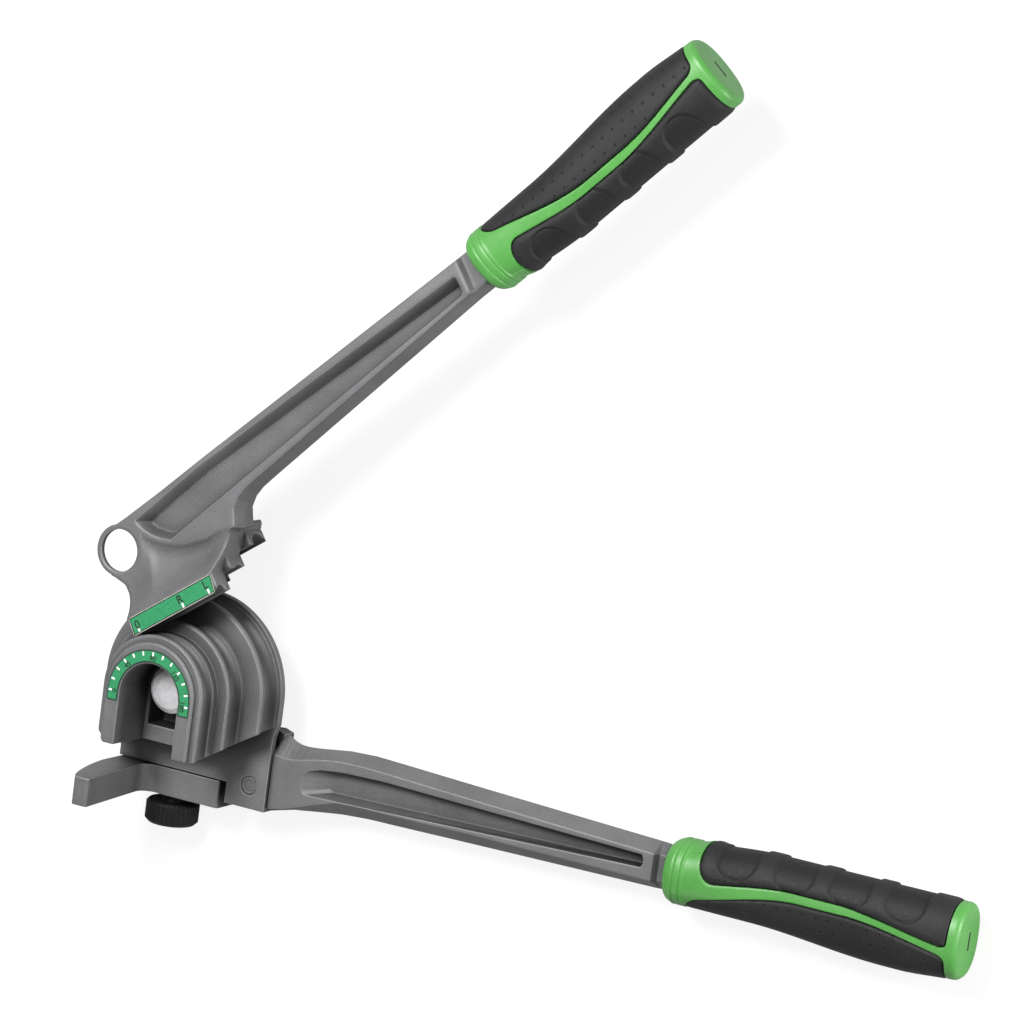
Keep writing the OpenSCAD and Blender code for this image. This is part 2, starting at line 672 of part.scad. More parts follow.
module clamp_washer() {
    color(black) translate([screw_x, clamp_low - 0.1, screw_z]) rotate([90, 0, 0]) difference() {
        cylinder(d = 2 * screw_d + 1, h = washer_h);
        translate([0, 0, -1]) cylinder(d = screw_d + 0.4, h = washer_h + 2);
    }
}

module thumb_knob() {
    rib_r = 0.7;
    color(black) translate([screw_x, neck_y, screw_z]) rotate([90, 0, 0]) difference() {
        rotate_extrude() polygon([[0, 0], [screw_d * 0.75, 0], [screw_d * 0.75, neck_h],
            [knob_d / 2 - 1, neck_h], [knob_d / 2, neck_h + 1], [knob_d / 2, neck_h + knob_h - 1.5],
            [knob_d / 2 - 1.5, neck_h + knob_h], [0, neck_h + knob_h]]);
        translate([0, 0, -1]) cylinder(d = screw_d, h = 1 + neck_h + knob_h / 2);
        for (k = [0:knob_ribs - 1]) rotate([0, 0, k * 360 / knob_ribs])
            translate([knob_d / 2 + rib_r * 0.45, 0, neck_h - 1])
                cylinder(r = rib_r, h = knob_h + 2, $fn = 16);
    }
}

// Draft of the stripe's sides and its depth below the pads, in degrees and in millimetres
stripe_draft = 0.6;
stripe_in = 0.3;

// Grips, drawn along X with the finger side towards Y
function blend(x, a, b) = let (u = min(1, max(0, (x - a) / (b - a)))) u * u * (3 - 2 * u);
function finger_h(x) = grip_half + finger_swell * blend(x, 0.05 * grip_len, 0.35 * grip_len);
function palm_h(x) = grip_half + palm_swell * blend(x, 0.3 * grip_len, 0.75 * grip_len)
    - 0.5 * palm_swell * blend(x, 0.8 * grip_len, grip_len);
function round_r(angle, tall, deep) = let (p = 2.3)
    pow(pow(abs(cos(angle)) / tall, p) + pow(abs(sin(angle)) / deep, p), -1 / p);
function grip_r(x, angle) = round_r(angle, cos(angle) > 0 ? finger_h(x) : palm_h(x), grip_deep);
function grip_point(x, angle, inset) = let (r = grip_r(x, angle) - inset)
    [x, r * cos(angle), r * sin(angle)];
function corner(d, r) = let (s = min(1, max(0, d / r))) 1 - sqrt(1 - pow(1 - s, 2));
function finger_line(u) = 96 - 27 * blend(u, 0.05, 0.45) + 33 * blend(u, 0.58, 1.05);
function palm_line(u) = 137 - 53.5 * blend(u, -0.04, 0.48) + 34 * blend(u, 0.62, 1.1);
function finger_edge(x) = finger_line(x / grip_len) - 55 * corner(x - collar_len, 7)
    - 14 * corner(grip_len - cap_len - x, 4);
function palm_edge(x) = palm_line(x / grip_len) + 34 * corner(x - palm_start, 7)
    + 14 * corner(grip_len - cap_len - x, 4);

// Angles and insets around one section of the core: finger floor, stripe, palm floor, stripe
function core_ring(x, finger_in, stripe_in, palm_in) =
    let (a = finger_edge(x), b = palm_edge(x), d = stripe_draft)
    concat([for (j = [0:14]) [-a + d + (2 * a - 2 * d) * j / 14, finger_in]],
        [for (j = [0:5]) [a + (b - a) * j / 5, stripe_in]],
        [for (j = [0:18]) [b + d + (360 - 2 * b - 2 * d) * j / 18, palm_in]],
        [for (j = [0:5]) [360 - b + (b - a) * j / 5, stripe_in]]);

// Thick patch of the grip's skin between two angles that vary along X
module grip_patch(xs, a_of, b_of, steps, low, top) {
    cols = steps + 1;
    rows = len(xs);
    half = rows * cols;
    points = [for (inset = [top, low]) for (x = xs) for (j = [0:steps])
        grip_point(x, a_of(x) + (b_of(x) - a_of(x)) * j / steps, inset)];
    skin = [for (i = [0:rows - 2]) for (j = [0:steps - 1]) let (p = i * cols + j)
        each [[p, p + 1, p + cols + 1], [p, p + cols + 1, p + cols]]];
    under = [for (f = skin) [f[2] + half, f[1] + half, f[0] + half]];
    ends = [for (i = [0, rows - 1]) for (j = [0:steps - 1]) let (p = i * cols + j, q = p + half)
        each i == 0 ? [[p + 1, p, q], [p + 1, q, q + 1]] : [[p, p + 1, q + 1], [p, q + 1, q]]];
    sides = [for (j = [0, steps]) for (i = [0:rows - 2]) let (p = i * cols + j, q = p + half)
        each j == 0 ? [[p, p + cols, q + cols], [p, q + cols, q]]
            : [[p + cols, p, q], [p + cols, q, q + cols]]];
    polyhedron(points, [for (f = concat(skin, under, ends, sides)) [f[2], f[1], f[0]]]);
}

step_run = 0.3;
cap_x = grip_len - cap_len;
pad_end = cap_x - step_run - pad_gap;
side_gap = 1.8;

// Places along a pad, closer together in its rounded ends
function pad_places(x0, x1) = let (near = [0, 0.6, 1.4, 2.6])
    concat([for (d = near) x0 + d], [for (k = [0:15]) x0 + 4.2 + (x1 - x0 - 8.4) * k / 15],
        [for (k = [3:-1:0]) x1 - near[k]]);
finger_rows = pad_places(collar_len + step_run + pad_gap, pad_end);
palm_rows = pad_places(palm_start + step_run + pad_gap, pad_end);
finger_from = function (x) -finger_edge(x) + side_gap;
finger_to = function (x) finger_edge(x) - side_gap;
palm_from = function (x) palm_edge(x) + side_gap;
palm_to = function (x) 360 - palm_edge(x) - side_gap;

module grip_core(turn) {
    floor_in = pad_skin + pad_gap;
    soft = 4;
    end_soft = 2.5;
    low_x = palm_start + step_run;
    mid_x = collar_len + step_run;
    end_x = cap_x - step_run;
    collar = [for (k = [0:4]) let (c = soft * (1 - sin(k * 22.5))) [soft * (1 - cos(k * 22.5)), c, c, c]];
    tip = [for (k = [0:3]) [low_x + (collar_len - low_x) * k / 3, 0, 0, floor_in]];
    middle = [for (x = pad_places(mid_x, end_x)) [x, floor_in, stripe_in, floor_in]];
    cap = [for (k = [0:4]) let (c = end_soft * (1 - cos(k * 22.5)))
        [grip_len - end_soft + end_soft * sin(k * 22.5), c, c, c]];
    color(lime) difference() {
        loft([for (s = concat(collar, [[palm_start, 0, 0, 0]], tip, middle, [[cap_x, 0, 0, 0]], cap))
            [for (c = core_ring(s[0], s[1], s[2], s[3])) grip_point(s[0], c[0], c[1])]]);
        rotate([turn, 0, 0]) translate([-1, -tang_h / 2 - tang_gap, -tang_t / 2 - tang_gap])
            cube([tang_len + 1.5, tang_h + 2 * tang_gap, tang_t + 2 * tang_gap]);
    }
}

module finger_pad() {
    color(black) grip_patch(finger_rows, finger_from, finger_to, 14, pad_skin, 0);
}

module palm_pad() {
    color(black) grip_patch(palm_rows, palm_from, palm_to, 18, pad_skin, 0);
}

module at_lower_grip() {
    translate([low_grip_x, -low_grip_drop, low_z]) children();
}

module at_upper_grip() {
    rotate([0, 0, shoe_dir]) at_upper_end() mirror([0, 1, 0]) rotate([-grip_turn, 0, 0]) children();
}

module lower_grip_core() { at_lower_grip() grip_core(0); }
module lower_finger_pad() { at_lower_grip() finger_pad(); }
module lower_palm_pad() { at_lower_grip() palm_pad(); }
module upper_grip_core() { at_upper_grip() grip_core(grip_turn); }
module upper_finger_pad() { at_upper_grip() finger_pad(); }
module upper_palm_pad() { at_upper_grip() palm_pad(); }

forming_die();
angle_scale();
lower_lever();
locating_dowel();
base_screws_set();
pivot_pin();
thrust_washer();
retaining_ring();
upper_lever();
pivot_bush();
shoe_scale();
tube_clamp();
clamp_stud();
clamp_washer();
thumb_knob();
lower_grip_core();
lower_finger_pad();
lower_palm_pad();
upper_grip_core();
upper_finger_pad();
upper_palm_pad();
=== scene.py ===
import math
import bpy
from mathutils import Matrix, Vector


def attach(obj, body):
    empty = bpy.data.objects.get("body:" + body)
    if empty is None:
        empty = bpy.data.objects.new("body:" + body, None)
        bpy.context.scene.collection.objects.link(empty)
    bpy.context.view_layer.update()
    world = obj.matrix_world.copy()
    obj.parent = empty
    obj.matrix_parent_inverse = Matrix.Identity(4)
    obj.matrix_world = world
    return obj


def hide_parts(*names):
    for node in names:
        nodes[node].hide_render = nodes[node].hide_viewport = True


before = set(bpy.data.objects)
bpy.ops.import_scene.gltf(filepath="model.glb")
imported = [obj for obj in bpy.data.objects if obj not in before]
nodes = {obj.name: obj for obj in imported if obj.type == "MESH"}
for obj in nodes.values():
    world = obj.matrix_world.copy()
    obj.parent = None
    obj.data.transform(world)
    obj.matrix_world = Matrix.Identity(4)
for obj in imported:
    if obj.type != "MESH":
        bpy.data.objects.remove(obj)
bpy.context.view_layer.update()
mm = 0.001
print("frame loaded,", len(nodes), "nodes")


# Small helpers

def clearSelection():
    if bpy.context.object and bpy.context.object.mode != "OBJECT":
        bpy.ops.object.mode_set(mode="OBJECT")
    bpy.ops.object.select_all(action="DESELECT")


def pick(*pieces):
    clearSelection()
    for piece in pieces:
        piece.select_set(True)
    bpy.context.view_layer.objects.active = pieces[0]


def blendIn(x, a, b):
    u = min(1.0, max(0.0, (x - a) / (b - a)))
    return u * u * (3 - 2 * u)


def finishPiece(piece, body, material, smoothAngle=None):
    piece.data.materials.clear()
    piece.data.materials.append(material)
    if smoothAngle is not None:
        pick(piece)
        bpy.ops.object.shade_smooth_by_angle(angle=math.radians(smoothAngle))
    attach(piece, body)
    clearSelection()
    return piece


def outwardNormals(piece):
    pick(piece)
    bpy.ops.object.mode_set(mode="EDIT")
    bpy.ops.mesh.select_all(action="SELECT")
    bpy.ops.mesh.normals_make_consistent(inside=False)
    bpy.ops.object.mode_set(mode="OBJECT")


def applyModifiers(piece):
    pick(piece)
    for modifier in list(piece.modifiers):
        bpy.ops.object.modifier_apply(modifier=modifier.name)


# A grid is added and its points are laid where place(s, t) says, s and t from 0 to 1
def laidGrid(name, cols, rows, place):
    clearSelection()
    bpy.ops.mesh.primitive_grid_add(x_subdivisions=cols, y_subdivisions=rows, size=1)
    piece = bpy.context.object
    piece.name = name
    piece.data.name = name
    for v in piece.data.vertices:
        v.co = place(v.co.x + 0.5, v.co.y + 0.5)
    piece.data.update()
    return piece


# Sizes of both grips in millimetres, along the grip's own axis
grip = {"length": 121.5, "half": 12.7, "deep": 12.6, "squareness": 2.3, "fingerSwell": 2.4, "palmSwell": 3.3,
        "collar": 15.0, "cap": 4.5, "palmStart": 9.5, "soft": 4.0, "endSoft": 2.5, "skinRadius": 13.5,
        "frontHole": 8.6, "frontFlat": 6.5, "endHole": 8.6, "endFlat": 6.0}

# Beds in the core that the pads lie in; draft and sideGap are in degrees
bed = {"deep": 2.1, "step": 0.3, "draft": 0.9, "stripeRound": 0.25, "sideGap": 1.6, "endGap": 0.35}

# Collar: raised bead with two fine rings, and the lip on the finger side
collar = {"beadFrom": 4.2, "beadTo": 9.0, "beadRise": 1.2, "beadFall": 0.8, "beadHeight": 0.4,
          "ringsAt": (5.3, 8.2), "ringDeep": 0.3, "ringWide": 0.33,
          "lipAt": 15.8, "lipHeight": 1.1, "lipRun": 3.4}

# Rubber pads, and the finger rests sunk in the finger pad
pad = {"proud": 0.12, "edgeRound": 1.5, "edgeSink": 1.3, "wall": 0.6, "palmRadius": 14.0, "ribRise": 0.42,
       "grid": {"finger": (210, 96), "palm": (120, 60)}}
rest = {"at": (30.0, 53.5, 76.0, 98.4), "radius": 8.0, "reach": 9.0, "deep": 0.65, "edge": 1.1,
        "rimDeep": 0.22, "rimIn": 0.5, "rimWide": 0.4, "shadeIn": 0.5, "shadeOut": 0.3}

# Edges of the pads in degrees round the grip: start, then each bend as (amount, from, to) over the length
fingerLine = {"start": 96, "bends": ((-27, 0.05, 0.45), (33, 0.58, 1.05)), "corner": -55, "endCorner": -14}
palmLine = {"start": 137, "bends": ((-53.5, -0.04, 0.48), (34, 0.62, 1.1)), "corner": 34, "endCorner": 14}
cornerRun = {"front": 7, "end": 4}

# Black patch painted as the shade of a small slit in the end cap, in millimetres
capSlitShade = {"deep": 0.16, "tall": 7.0, "wide": 1.3, "off": 0.6, "soft": 0.06}


# Materials

def newMaterial(name):
    material = bpy.data.materials.new(name)
    material.use_nodes = True
    tree = material.node_tree
    tree.nodes.clear()
    out = tree.nodes.new("ShaderNodeOutputMaterial")
    shader = tree.nodes.new("ShaderNodeBsdfPrincipled")
    tree.links.new(shader.outputs[0], out.inputs[0])
    return material, tree, shader


def addNode(tree, kind, **values):
    node = tree.nodes.new(kind)
    for key, value in values.items():
        if key in node.inputs:
            node.inputs[key].default_value = value
        else:
            setattr(node, key, value)
    return node


def noiseOf(tree, coords, scale, detail=2.0, rough=0.5):
    node = tree.nodes.new("ShaderNodeTexNoise")
    node.inputs["Scale"].default_value = scale
    node.inputs["Detail"].default_value = detail
    node.inputs["Roughness"].default_value = rough
    tree.links.new(coords, node.inputs["Vector"])
    return node.outputs["Fac"]


def rampOf(tree, source, stops):
    node = tree.nodes.new("ShaderNodeValToRGB")
    node.color_ramp.elements[0].position = stops[0][0]
    node.color_ramp.elements[0].color = stops[0][1] + (1,)
    node.color_ramp.elements[1].position = stops[-1][0]
    node.color_ramp.elements[1].color = stops[-1][1] + (1,)
    for place, colour in stops[1:-1]:
        node.color_ramp.elements.new(place).color = colour + (1,)
    tree.links.new(source, node.inputs["Fac"])
    return node.outputs["Color"]


def rangeOf(tree, source, fromLow, fromHigh, toLow, toHigh):
    node = tree.nodes.new("ShaderNodeMapRange")
    for key, value in (("From Min", fromLow), ("From Max", fromHigh), ("To Min", toLow), ("To Max", toHigh)):
        node.inputs[key].default_value = value
    tree.links.new(source, node.inputs["Value"])
    return node.outputs["Result"]


def mathOf(tree, operation, a, b=None):
    node = tree.nodes.new("ShaderNodeMath")
    node.operation = operation
    for socket, value in ((0, a), (1, b)):
        if value is None:
            continue
        if isinstance(value, (int, float)):
            node.inputs[socket].default_value = value
        else:
            tree.links.new(value, node.inputs[socket])
    return node.outputs[0]


def mixColour(tree, factor, a, b):
    node = tree.nodes.new("ShaderNodeMix")
    node.data_type = "RGBA"
    tree.links.new(factor, node.inputs["Factor"])
    for socket, value in (("A", a), ("B", b)):
        target = [i for i in node.inputs if i.name == socket and i.type == "RGBA"][0]
        if isinstance(value, tuple):
            target.default_value = value + (1,)
        else:
            tree.links.new(value, target)
    return [o for o in node.outputs if o.type == "RGBA"][0]


def bumpOf(tree, height, strength, distance, normal=None):
    node = tree.nodes.new("ShaderNodeBump")
    node.inputs["Strength"].default_value = strength
    node.inputs["Distance"].default_value = distance
    tree.links.new(height, node.inputs["Height"])
    if normal is not None:
        tree.links.new(normal, node.inputs["Normal"])
    return node.outputs["Normal"]


# How far the rounded normal leans from the flat one, near 1 on an edge
def edgeMask(tree, radius):
    soft = addNode(tree, "ShaderNodeBevel", samples=6, Radius=radius)
    flat = tree.nodes.new("ShaderNodeNewGeometry")
    dot = addNode(tree, "ShaderNodeVectorMath", operation="DOT_PRODUCT")
    tree.links.new(soft.outputs[0], dot.inputs[0])
    tree.links.new(flat.outputs["Normal"], dot.inputs[1])
    return mathOf(tree, "SUBTRACT", 1.0, dot.outputs["Value"])


# edge is the pale colour laid on edges, partly wear and partly painted highlight
castLook = {"dark": (0.112, 0.111, 0.115), "light": (0.178, 0.177, 0.182), "edge": (0.44, 0.44, 0.45),
            "speckPerMetre": 1500, "cloudPerMetre": 45, "edgeRadius": 0.0007,
            # hollow is the colour of painted shade in recesses, laid in by ambient occlusion within
            # hollowReach
            "hollowShade": (0.016, 0.016, 0.017), "hollowReach": 0.015}


def castMaterial(name, edgeSoft):
    material, tree, shader = newMaterial(name)
    coords = tree.nodes.new("ShaderNodeTexCoord").outputs["Object"]
    speck = noiseOf(tree, coords, castLook["speckPerMetre"], 3, 0.6)
    cloud = noiseOf(tree, coords, castLook["cloudPerMetre"], 2)
    mixed = mathOf(tree, "ADD", mathOf(tree, "MULTIPLY", speck, 0.55), mathOf(tree, "MULTIPLY", cloud, 0.45))
    body = rampOf(tree, mixed, [(0.36, castLook["dark"]), (0.64, castLook["light"])])
    # Edges lighten towards the edge colour: partly wear, partly painted highlight
    wornAndHighlit = rangeOf(tree, edgeMask(tree, castLook["edgeRadius"]), 0.02, 0.2, 0.0, 0.75)
    # Painted shade: ambient occlusion darkens the colour in grooves, pockets and corners
    aoShadeNode = addNode(tree, "ShaderNodeAmbientOcclusion", samples=8, Distance=castLook["hollowReach"])
    unshaded = rangeOf(tree, aoShadeNode.outputs["AO"], 0.4, 0.95, 0.0, 1.0)
    body = mixColour(tree, unshaded, castLook["hollowShade"], mixColour(tree, wornAndHighlit, body, castLook["edge"]))
    tree.links.new(body, shader.inputs["Base Color"])
    tree.links.new(rangeOf(tree, speck, 0.3, 0.7, 0.5, 0.64), shader.inputs["Roughness"])
    shader.inputs["Metallic"].default_value = 0.25
    rounded = addNode(tree, "ShaderNodeBevel", samples=8, Radius=edgeSoft).outputs[0]
    tree.links.new(bumpOf(tree, speck, 0.22, 0.00012, rounded), shader.inputs["Normal"])
    return material


labelLook = {"dark": (0.023, 0.215, 0.083), "light": (0.033, 0.262, 0.11)}


def labelMaterial():
    material, tree, shader = newMaterial("labelGreen")
    coords = tree.nodes.new("ShaderNodeTexCoord").outputs["Object"]
    grain = noiseOf(tree, coords, 900, 3, 0.6)
    body = rampOf(tree, grain, [(0.35, labelLook["dark"]), (0.65, labelLook["light"])])
    tree.links.new(body, shader.inputs["Base Color"])
    tree.links.new(rangeOf(tree, grain, 0.3, 0.7, 0.38, 0.5), shader.inputs["Roughness"])
    tree.links.new(bumpOf(tree, grain, 0.08, 0.0001), shader.inputs["Normal"])
    return material


def inkMaterial(name, dark, light):
    material, tree, shader = newMaterial(name)
    coords = tree.nodes.new("ShaderNodeTexCoord").outputs["Object"]
    grain = noiseOf(tree, coords, 1400, 2)
    tree.links.new(rampOf(tree, grain, [(0.35, dark), (0.65, light)]), shader.inputs["Base Color"])
    tree.links.new(rangeOf(tree, grain, 0.3, 0.7, 0.45, 0.6), shader.inputs["Roughness"])
    return material


# Turned steel: fine rings about Z, with a little wear
def steelMaterial(name, dark, light, ringsPerMetre):
    material, tree, shader = newMaterial(name)
    coords = tree.nodes.new("ShaderNodeTexCoord").outputs["Object"]
    flat = addNode(tree, "ShaderNodeVectorMath", operation="MULTIPLY")
    flat.inputs[1].default_value = (1, 1, 0)
    tree.links.new(coords, flat.inputs[0])
    length = addNode(tree, "ShaderNodeVectorMath", operation="LENGTH")
    tree.links.new(flat.outputs[0], length.inputs[0])
    rings = mathOf(tree, "SINE", mathOf(tree, "MULTIPLY", length.outputs["Value"], ringsPerMetre))
    grain = noiseOf(tree, coords, 700, 3)
    tree.links.new(rampOf(tree, grain, [(0.3, dark), (0.7, light)]), shader.inputs["Base Color"])
    tree.links.new(rangeOf(tree, grain, 0.3, 0.7, 0.32, 0.44), shader.inputs["Roughness"])
    shader.inputs["Metallic"].default_value = 0.5
    rounded = addNode(tree, "ShaderNodeBevel", samples=6, Radius=0.0004).outputs[0]
    tree.links.new(bumpOf(tree, rings, 0.12, 0.00004, rounded), shader.inputs["Normal"])
    return material


def blackMaterial(name, dark, light, low, high, grainPerMetre):
    material, tree, shader = newMaterial(name)
    coords = tree.nodes.new("ShaderNodeTexCoord").outputs["Object"]
    grain = noiseOf(tree, coords, grainPerMetre, 3, 0.6)
    tree.links.new(rampOf(tree, grain, [(0.35, dark), (0.65, light)]), shader.inputs["Base Color"])
    tree.links.new(rangeOf(tree, grain, 0.3, 0.7, low, high), shader.inputs["Roughness"])
    shader.inputs["Specular IOR Level"].default_value = 0.3
    rounded = addNode(tree, "ShaderNodeBevel", samples=6, Radius=0.0004).outputs[0]
    tree.links.new(bumpOf(tree, grain, 0.15, 0.0001, rounded), shader.inputs["Normal"])
    return material


gripLook = {"greenDark": (0.064, 0.255, 0.047), "greenLight": (0.088, 0.306, 0.066),
            "rubberDark": (0.006, 0.006, 0.0065), "rubberLight": (0.016, 0.016, 0.0175),
            "rubberPaintedShade": (0.004, 0.004, 0.004), "dotEvery": 0.0052, "dotRadius": 0.11}


def greenPlastic():
    material, tree, shader = newMaterial("gripGreen")
    coords = tree.nodes.new("ShaderNodeTexCoord").outputs["Object"]
    grain = noiseOf(tree, coords, 1100, 3, 0.55)
    cloud = noiseOf(tree, coords, 38, 2)
    tone = mathOf(tree, "ADD", mathOf(tree, "MULTIPLY", grain, 0.35), mathOf(tree, "MULTIPLY", cloud, 0.65))
    tree.links.new(rampOf(tree, tone, [(0.35, gripLook["greenDark"]), (0.65, gripLook["greenLight"])]),
                   shader.inputs["Base Color"])
    tree.links.new(rangeOf(tree, grain, 0.3, 0.7, 0.36, 0.48), shader.inputs["Roughness"])
    shader.inputs["Subsurface Weight"].default_value = 0.04
    shader.inputs["Subsurface Radius"].default_value = (0.0006, 0.0012, 0.0005)
    tree.links.new(bumpOf(tree, grain, 0.1, 0.0001), shader.inputs["Normal"])
    return material


def distanceOf(tree, a, b):
    squares = [mathOf(tree, "MULTIPLY", value, value) for value in (a, b)]
    return mathOf(tree, "SQRT", mathOf(tree, "ADD", *squares))


# 1 in the rests of the finger pad and 0 outside them, from a spot's place along and round the grip
def restMask(tree, along, around):
    side = mathOf(tree, "SUBTRACT", mathOf(tree, "ABSOLUTE", around), rest["reach"] * mm)
    past = mathOf(tree, "MAXIMUM", side, 0.0)
    inside, outside = (rest["radius"] - rest["shadeIn"]) * mm, (rest["radius"] + rest["shadeOut"]) * mm
    sunk = 0.0
    for at in rest["at"]:
        far = distanceOf(tree, mathOf(tree, "SUBTRACT", along, at * mm), past)
        sunk = mathOf(tree, "MAXIMUM", rangeOf(tree, far, inside, outside, 1.0, 0.0), sunk)
    return sunk


# Rows of small round pits, every second row shifted by half a step
def pitMask(tree, along, around):
    across = mathOf(tree, "DIVIDE", around, gripLook["dotEvery"])
    steps = mathOf(tree, "DIVIDE", along, gripLook["dotEvery"])
    shifted = mathOf(tree, "ADD", steps, mathOf(tree, "MULTIPLY", mathOf(tree, "FLOOR", across), 0.5))
    du = mathOf(tree, "SUBTRACT", mathOf(tree, "FRACT", shifted), 0.5)
    dv = mathOf(tree, "SUBTRACT", mathOf(tree, "FRACT", across), 0.5)
    far = distanceOf(tree, du, dv)
    return rangeOf(tree, far, gripLook["dotRadius"] * 0.55, gripLook["dotRadius"], 1.0, 0.0)


# Rubber with a leathery grain, with pits where dotted and finger rests where not; pits and rests are
# darkened with painted shade
def rubberMaterial(name, dotted):
    material, tree, shader = newMaterial(name)
    source = tree.nodes.new("ShaderNodeTexCoord")
    grain = noiseOf(tree, source.outputs["Object"], 1300, 4, 0.65)
    cloud = noiseOf(tree, source.outputs["Object"], 60, 2)
    tone = mathOf(tree, "ADD", mathOf(tree, "MULTIPLY", grain, 0.6), mathOf(tree, "MULTIPLY", cloud, 0.4))
    body = rampOf(tree, tone, [(0.35, gripLook["rubberDark"]), (0.66, gripLook["rubberLight"])])
    normal = bumpOf(tree, grain, 0.45, 0.00025)
    parts = tree.nodes.new("ShaderNodeSeparateXYZ")
    tree.links.new(source.outputs["UV"], parts.inputs[0])
    if dotted:
        pit = pitMask(tree, parts.outputs[0], parts.outputs[1])
        # Painted shade in the pits
        body = mixColour(tree, pit, body, gripLook["rubberPaintedShade"])
        normal = bumpOf(tree, mathOf(tree, "SUBTRACT", 1.0, pit), 0.8, 0.0005, normal)
    else:
        sunk = restMask(tree, parts.outputs[0], parts.outputs[1])
        # Painted shade in the finger rests, at half strength
        body = mixColour(tree, mathOf(tree, "MULTIPLY", sunk, 0.5), body, gripLook["rubberPaintedShade"])
    tree.links.new(body, shader.inputs["Base Color"])
    tree.links.new(rangeOf(tree, grain, 0.3, 0.7, 0.55, 0.72), shader.inputs["Roughness"])
    shader.inputs["Specular IOR Level"].default_value = 0.36
    tree.links.new(normal, shader.inputs["Normal"])
    return material


castGrey = castMaterial("castGrey", 0.0012)
softCast = castMaterial("softCast", 0.0024)
labelGreen = labelMaterial()
darkInk = inkMaterial("darkInk", (0.006, 0.012, 0.009), (0.016, 0.026, 0.02))
whiteInk = inkMaterial("whiteInk", (0.78, 0.8, 0.78), (0.88, 0.9, 0.88))
# Pale colour for the painted highlight round the shoe's label
paintedRimHighlight = inkMaterial("paintedRimHighlight", (0.36, 0.34, 0.3), (0.5, 0.48, 0.44))
turnedSteel = steelMaterial("turnedSteel", (0.66, 0.66, 0.675), (0.77, 0.77, 0.785), 26000)
bronze = steelMaterial("sinteredBronze", (0.45, 0.29, 0.12), (0.6, 0.42, 0.2), 18000)
blackSteel = blackMaterial("blackSteel", (0.01, 0.01, 0.011), (0.022, 0.022, 0.024), 0.34, 0.5, 900)
blackPlastic = blackMaterial("blackPlastic", (0.002, 0.002, 0.002), (0.006, 0.006, 0.0065), 0.46, 0.6, 1200)
gripGreen = greenPlastic()
fingerRubber = rubberMaterial("fingerRubber", False)
palmRubber = rubberMaterial("palmRubber", True)

cadFinish = {"forming_die": castGrey, "lower_lever": castGrey, "upper_lever": softCast,
             "tube_clamp": castGrey, "locating_dowel": castGrey,
             "angle_scale": labelGreen, "shoe_scale": labelGreen,
             "base_screws_set": turnedSteel, "pivot_pin": turnedSteel, "thrust_washer": turnedSteel,
             "retaining_ring": turnedSteel, "pivot_bush": bronze, "clamp_stud": blackSteel,
             "clamp_washer": blackSteel, "thumb_knob": blackPlastic}
for nodeName, finish in cadFinish.items():
    nodes[nodeName].data.materials.clear()
    nodes[nodeName].data.materials.append(finish)
print("materials set on", len(cadFinish), "solids")


# Grips

gripLen = grip["length"]
capAt = gripLen - grip["cap"]


def gripRadius(x, angle):
    c, s = math.cos(angle), math.sin(angle)
    if c < 0:
        tall = (grip["half"] + grip["palmSwell"] * blendIn(x, 0.3 * gripLen, 0.75 * gripLen)
                - 0.5 * grip["palmSwell"] * blendIn(x, 0.8 * gripLen, gripLen))
    else:
        tall = (grip["half"] + grip["fingerSwell"] * blendIn(x, 0.05 * gripLen, 0.35 * gripLen)
                + collar["lipHeight"] * math.exp(-((x - collar["lipAt"]) / collar["lipRun"]) ** 2))
    power = grip["squareness"]
    return ((abs(c) / tall) ** power + (abs(s) / grip["deep"]) ** power) ** (-1 / power)


def gripPoint(x, angle, inset):
    r = gripRadius(x, angle) - inset
    return Vector((x, r * math.cos(angle), r * math.sin(angle)))


# 1 at the edge, falling to 0 at distance r along a quarter circle
def cornerCut(d, r):
    s = min(1.0, max(0.0, d / r))
    return 1 - math.sqrt(1 - (1 - s) ** 2)


# Angle of a pad's edge at x, where the pad begins at start
def padEdge(line, start, x):
    degrees = line["start"] + sum(amount * blendIn(x / gripLen, a, b) for amount, a, b in line["bends"])
    degrees += line["corner"] * cornerCut(x - start, cornerRun["front"])
    degrees += line["endCorner"] * cornerCut(capAt - x, cornerRun["end"])
    return math.radians(degrees)


def fingerEdge(x):
    return padEdge(fingerLine, grip["collar"], x)


def palmEdge(x):
    return padEdge(palmLine, grip["palmStart"], x)


def collarInset(x):
    rise = blendIn(x, collar["beadFrom"] - collar["beadRise"], collar["beadFrom"])
    fall = blendIn(-x, -collar["beadTo"] - collar["beadFall"], -collar["beadTo"])
    rings = sum(math.exp(-((x - at) / collar["ringWide"]) ** 2) for at in collar["ringsAt"])
    return collar["ringDeep"] * rings - collar["beadHeight"] * rise * fall


# Where the grips' collars begin; the upper seat is given in the lever's frame, which is turned by swing
swing = 35.5
lowerSeat = (217.0, -28.4, 13.2)
upperSeat = {"at": (204.5, 88.2, 40.5), "slant": 9.9, "roll": -12}


def turned(degrees, axis="Z"):
    return Matrix.Rotation(math.radians(degrees), 4, axis)


lowerPlace = Matrix.Translation(lowerSeat)
upperPlace = (turned(swing) @ Matrix.Translation(upperSeat["at"]) @ turned(upperSeat["slant"])
              @ Matrix.Diagonal((1, -1, 1, 1)) @ turned(upperSeat["roll"], "X"))


